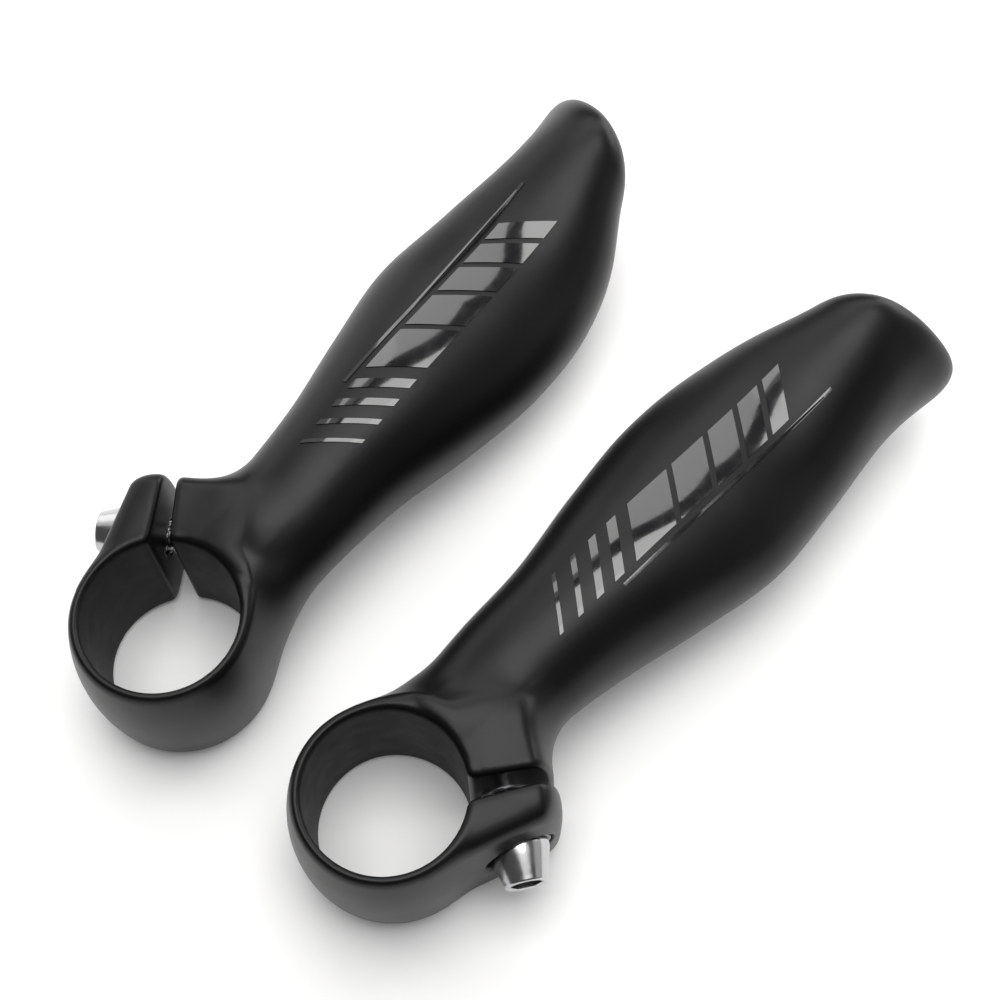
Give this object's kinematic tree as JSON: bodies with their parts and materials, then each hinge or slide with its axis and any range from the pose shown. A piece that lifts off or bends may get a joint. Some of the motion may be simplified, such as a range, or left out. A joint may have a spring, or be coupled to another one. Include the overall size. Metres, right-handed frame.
{
  "type": "bar end grips",
  "caption": "Mirrored pair of hollow ergonomic bar end grips, each a flattened twisted paddle with a bolted split clamp ring for a handlebar.",
  "frame": {"origin": "centre of the right grip's clamp bore, halfway along the bore", "axes": "+X from the bore towards the right grip's tip, +Z outboard along the right clamp's bore, away from the bicycle"},
  "size_m": [0.1274, 0.0872, 0.0284],
  "materials": {
    "matte_composite": "satin black lacquer over moulded composite",
    "foam": "closed cell foam, off white",
    "bolt_chrome": "bright plated steel",
    "washer_steel": "plain steel",
    "insert_alloy": "machined aluminium",
    "gloss_film": "gloss black film"
  },
  "bodies": {
    "right_grip": {"right_grip_shell": "matte_composite", "right_foam_core": "foam", "right_threaded_insert": "insert_alloy", "right_bar_marks": "gloss_film", "right_block_marks": "gloss_film", "right_line_mark": "gloss_film"},
    "right_washer": {"right_bolt_washer": "washer_steel"},
    "right_bolt": {"right_clamp_bolt": "bolt_chrome"},
    "left_grip": {"left_grip_shell": "matte_composite", "left_foam_core": "foam", "left_threaded_insert": "insert_alloy", "left_bar_marks": "gloss_film", "left_block_marks": "gloss_film", "left_line_mark": "gloss_film"},
    "left_washer": {"left_bolt_washer": "washer_steel"},
    "left_bolt": {"left_clamp_bolt": "bolt_chrome"}
  },
  "joints": [
    {"name": "left_grip_lift", "type": "slide", "parent": "right_grip", "child": "left_grip", "axis": [0, 0, 1], "range_m": [0, 0.06]},
    {"name": "right_bolt_travel", "type": "slide", "parent": "right_grip", "child": "right_washer", "axis": [-0.5373, -0.8434, 0], "range_m": [0, 0.0064]},
    {"name": "right_bolt_turn", "type": "hinge", "parent": "right_washer", "child": "right_bolt", "pos_m": [0.00927, -0.01563, 0], "axis": [-0.5373, -0.8434, 0], "range_deg": [0, 2880]},
    {"name": "left_bolt_travel", "type": "slide", "parent": "left_grip", "child": "left_washer", "axis": [-0.6494, 0.7604, 0], "range_m": [0, 0.0064]},
    {"name": "left_bolt_turn", "type": "hinge", "parent": "left_washer", "child": "left_bolt", "pos_m": [0.0017, 0.05667, 0], "axis": [-0.6494, 0.7604, 0], "range_deg": [0, 2880]}
  ],
  "couplings": [
    {"joint": "right_bolt_turn", "follows": "right_bolt_travel", "rad_per_m": 7854},
    {"joint": "left_bolt_turn", "follows": "left_bolt_travel", "rad_per_m": 7854}
  ]
}
